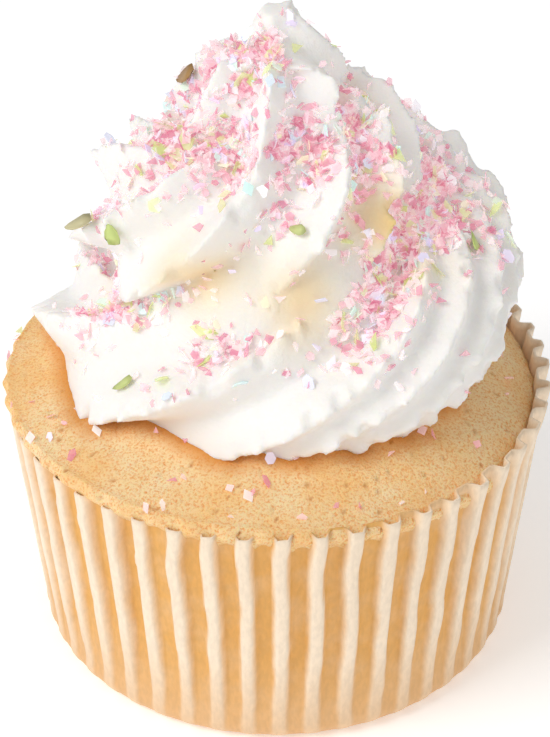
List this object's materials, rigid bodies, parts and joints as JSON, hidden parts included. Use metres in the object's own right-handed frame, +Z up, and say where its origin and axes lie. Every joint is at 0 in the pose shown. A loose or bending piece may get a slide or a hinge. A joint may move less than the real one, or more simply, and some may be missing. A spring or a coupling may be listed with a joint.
{
  "type": "cupcake",
  "caption": "Vanilla cupcake in a fluted paper case, topped with a tall piped swirl of white icing and pink flakes.",
  "frame": {"origin": "centre of the paper case's flat base, on the surface that the cake stands on", "axes": "+Z up along the cake's height, -Y towards the front, +X to the front's right"},
  "size_m": [0.0701, 0.07, 0.0883],
  "materials": {
    "baking_paper": "matt greaseproof paper, pale on the flutes and stained golden where it touches the cake",
    "sponge_cake": "dry golden crumb, finely porous",
    "buttercream": "soft satin white icing with torn ridge edges"
  },
  "bodies": {
    "root": {"paper_case": "baking_paper", "sponge": "sponge_cake", "icing": "buttercream"}
  },
  "joints": []
}
